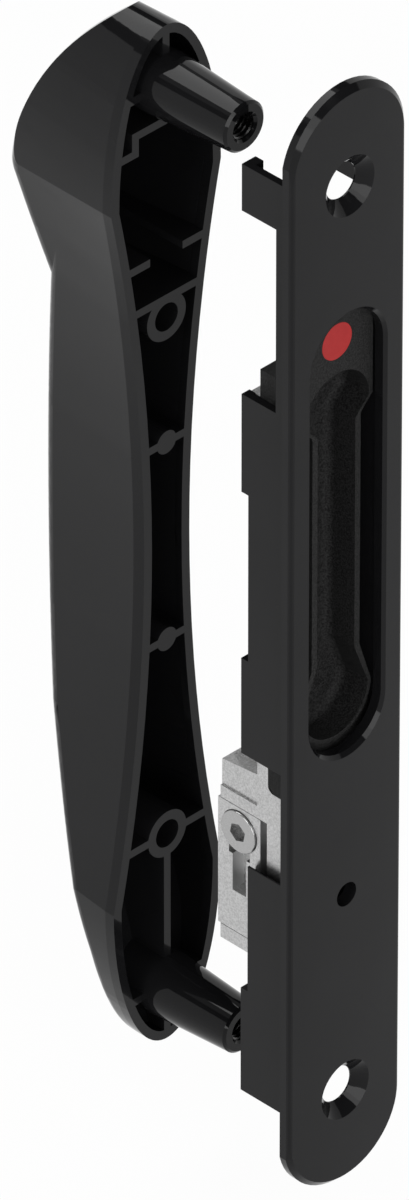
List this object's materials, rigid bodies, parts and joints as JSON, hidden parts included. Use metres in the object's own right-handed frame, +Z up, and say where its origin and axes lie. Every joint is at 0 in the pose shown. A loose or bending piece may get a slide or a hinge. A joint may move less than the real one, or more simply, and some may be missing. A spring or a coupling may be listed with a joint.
{
  "type": "sliding window lock",
  "caption": "Flush sliding window lock: round-ended black plate with a finger-cup slider, zinc catch in a channel behind, and a waisted pull handle for the other face.",
  "frame": {"origin": "plate's back face, midway between the two screw holes", "axes": "+Z up along the plate, -Y out of the plate's front, +X to the plate's right seen from the front"},
  "size_m": [0.023, 0.0625, 0.1932],
  "materials": {
    "black_lacquer": "satin",
    "black_casting": "satin",
    "black_plastic": "textured",
    "red_plastic": "satin",
    "zinc_casting": "cast",
    "plated_steel": "satin",
    "dark_steel": "blackened",
    "bright_steel": "polished"
  },
  "bodies": {
    "sash_side": {"lock_body": "black_lacquer", "pull_handle": "black_casting", "handle_bosses": "black_casting"},
    "slider": {"slider_cup": "black_plastic", "indicator_dot": "red_plastic", "catch_block": "zinc_casting", "catch_plate": "plated_steel", "clamp_screw": "plated_steel", "drive_screw": "dark_steel", "detent_ball": "bright_steel", "detent_spring": "bright_steel"}
  },
  "joints": [
    {"name": "slider_travel", "type": "slide", "parent": "sash_side", "child": "slider", "axis": [0, 0, 1], "range_m": [0, 0.009]}
  ]
}
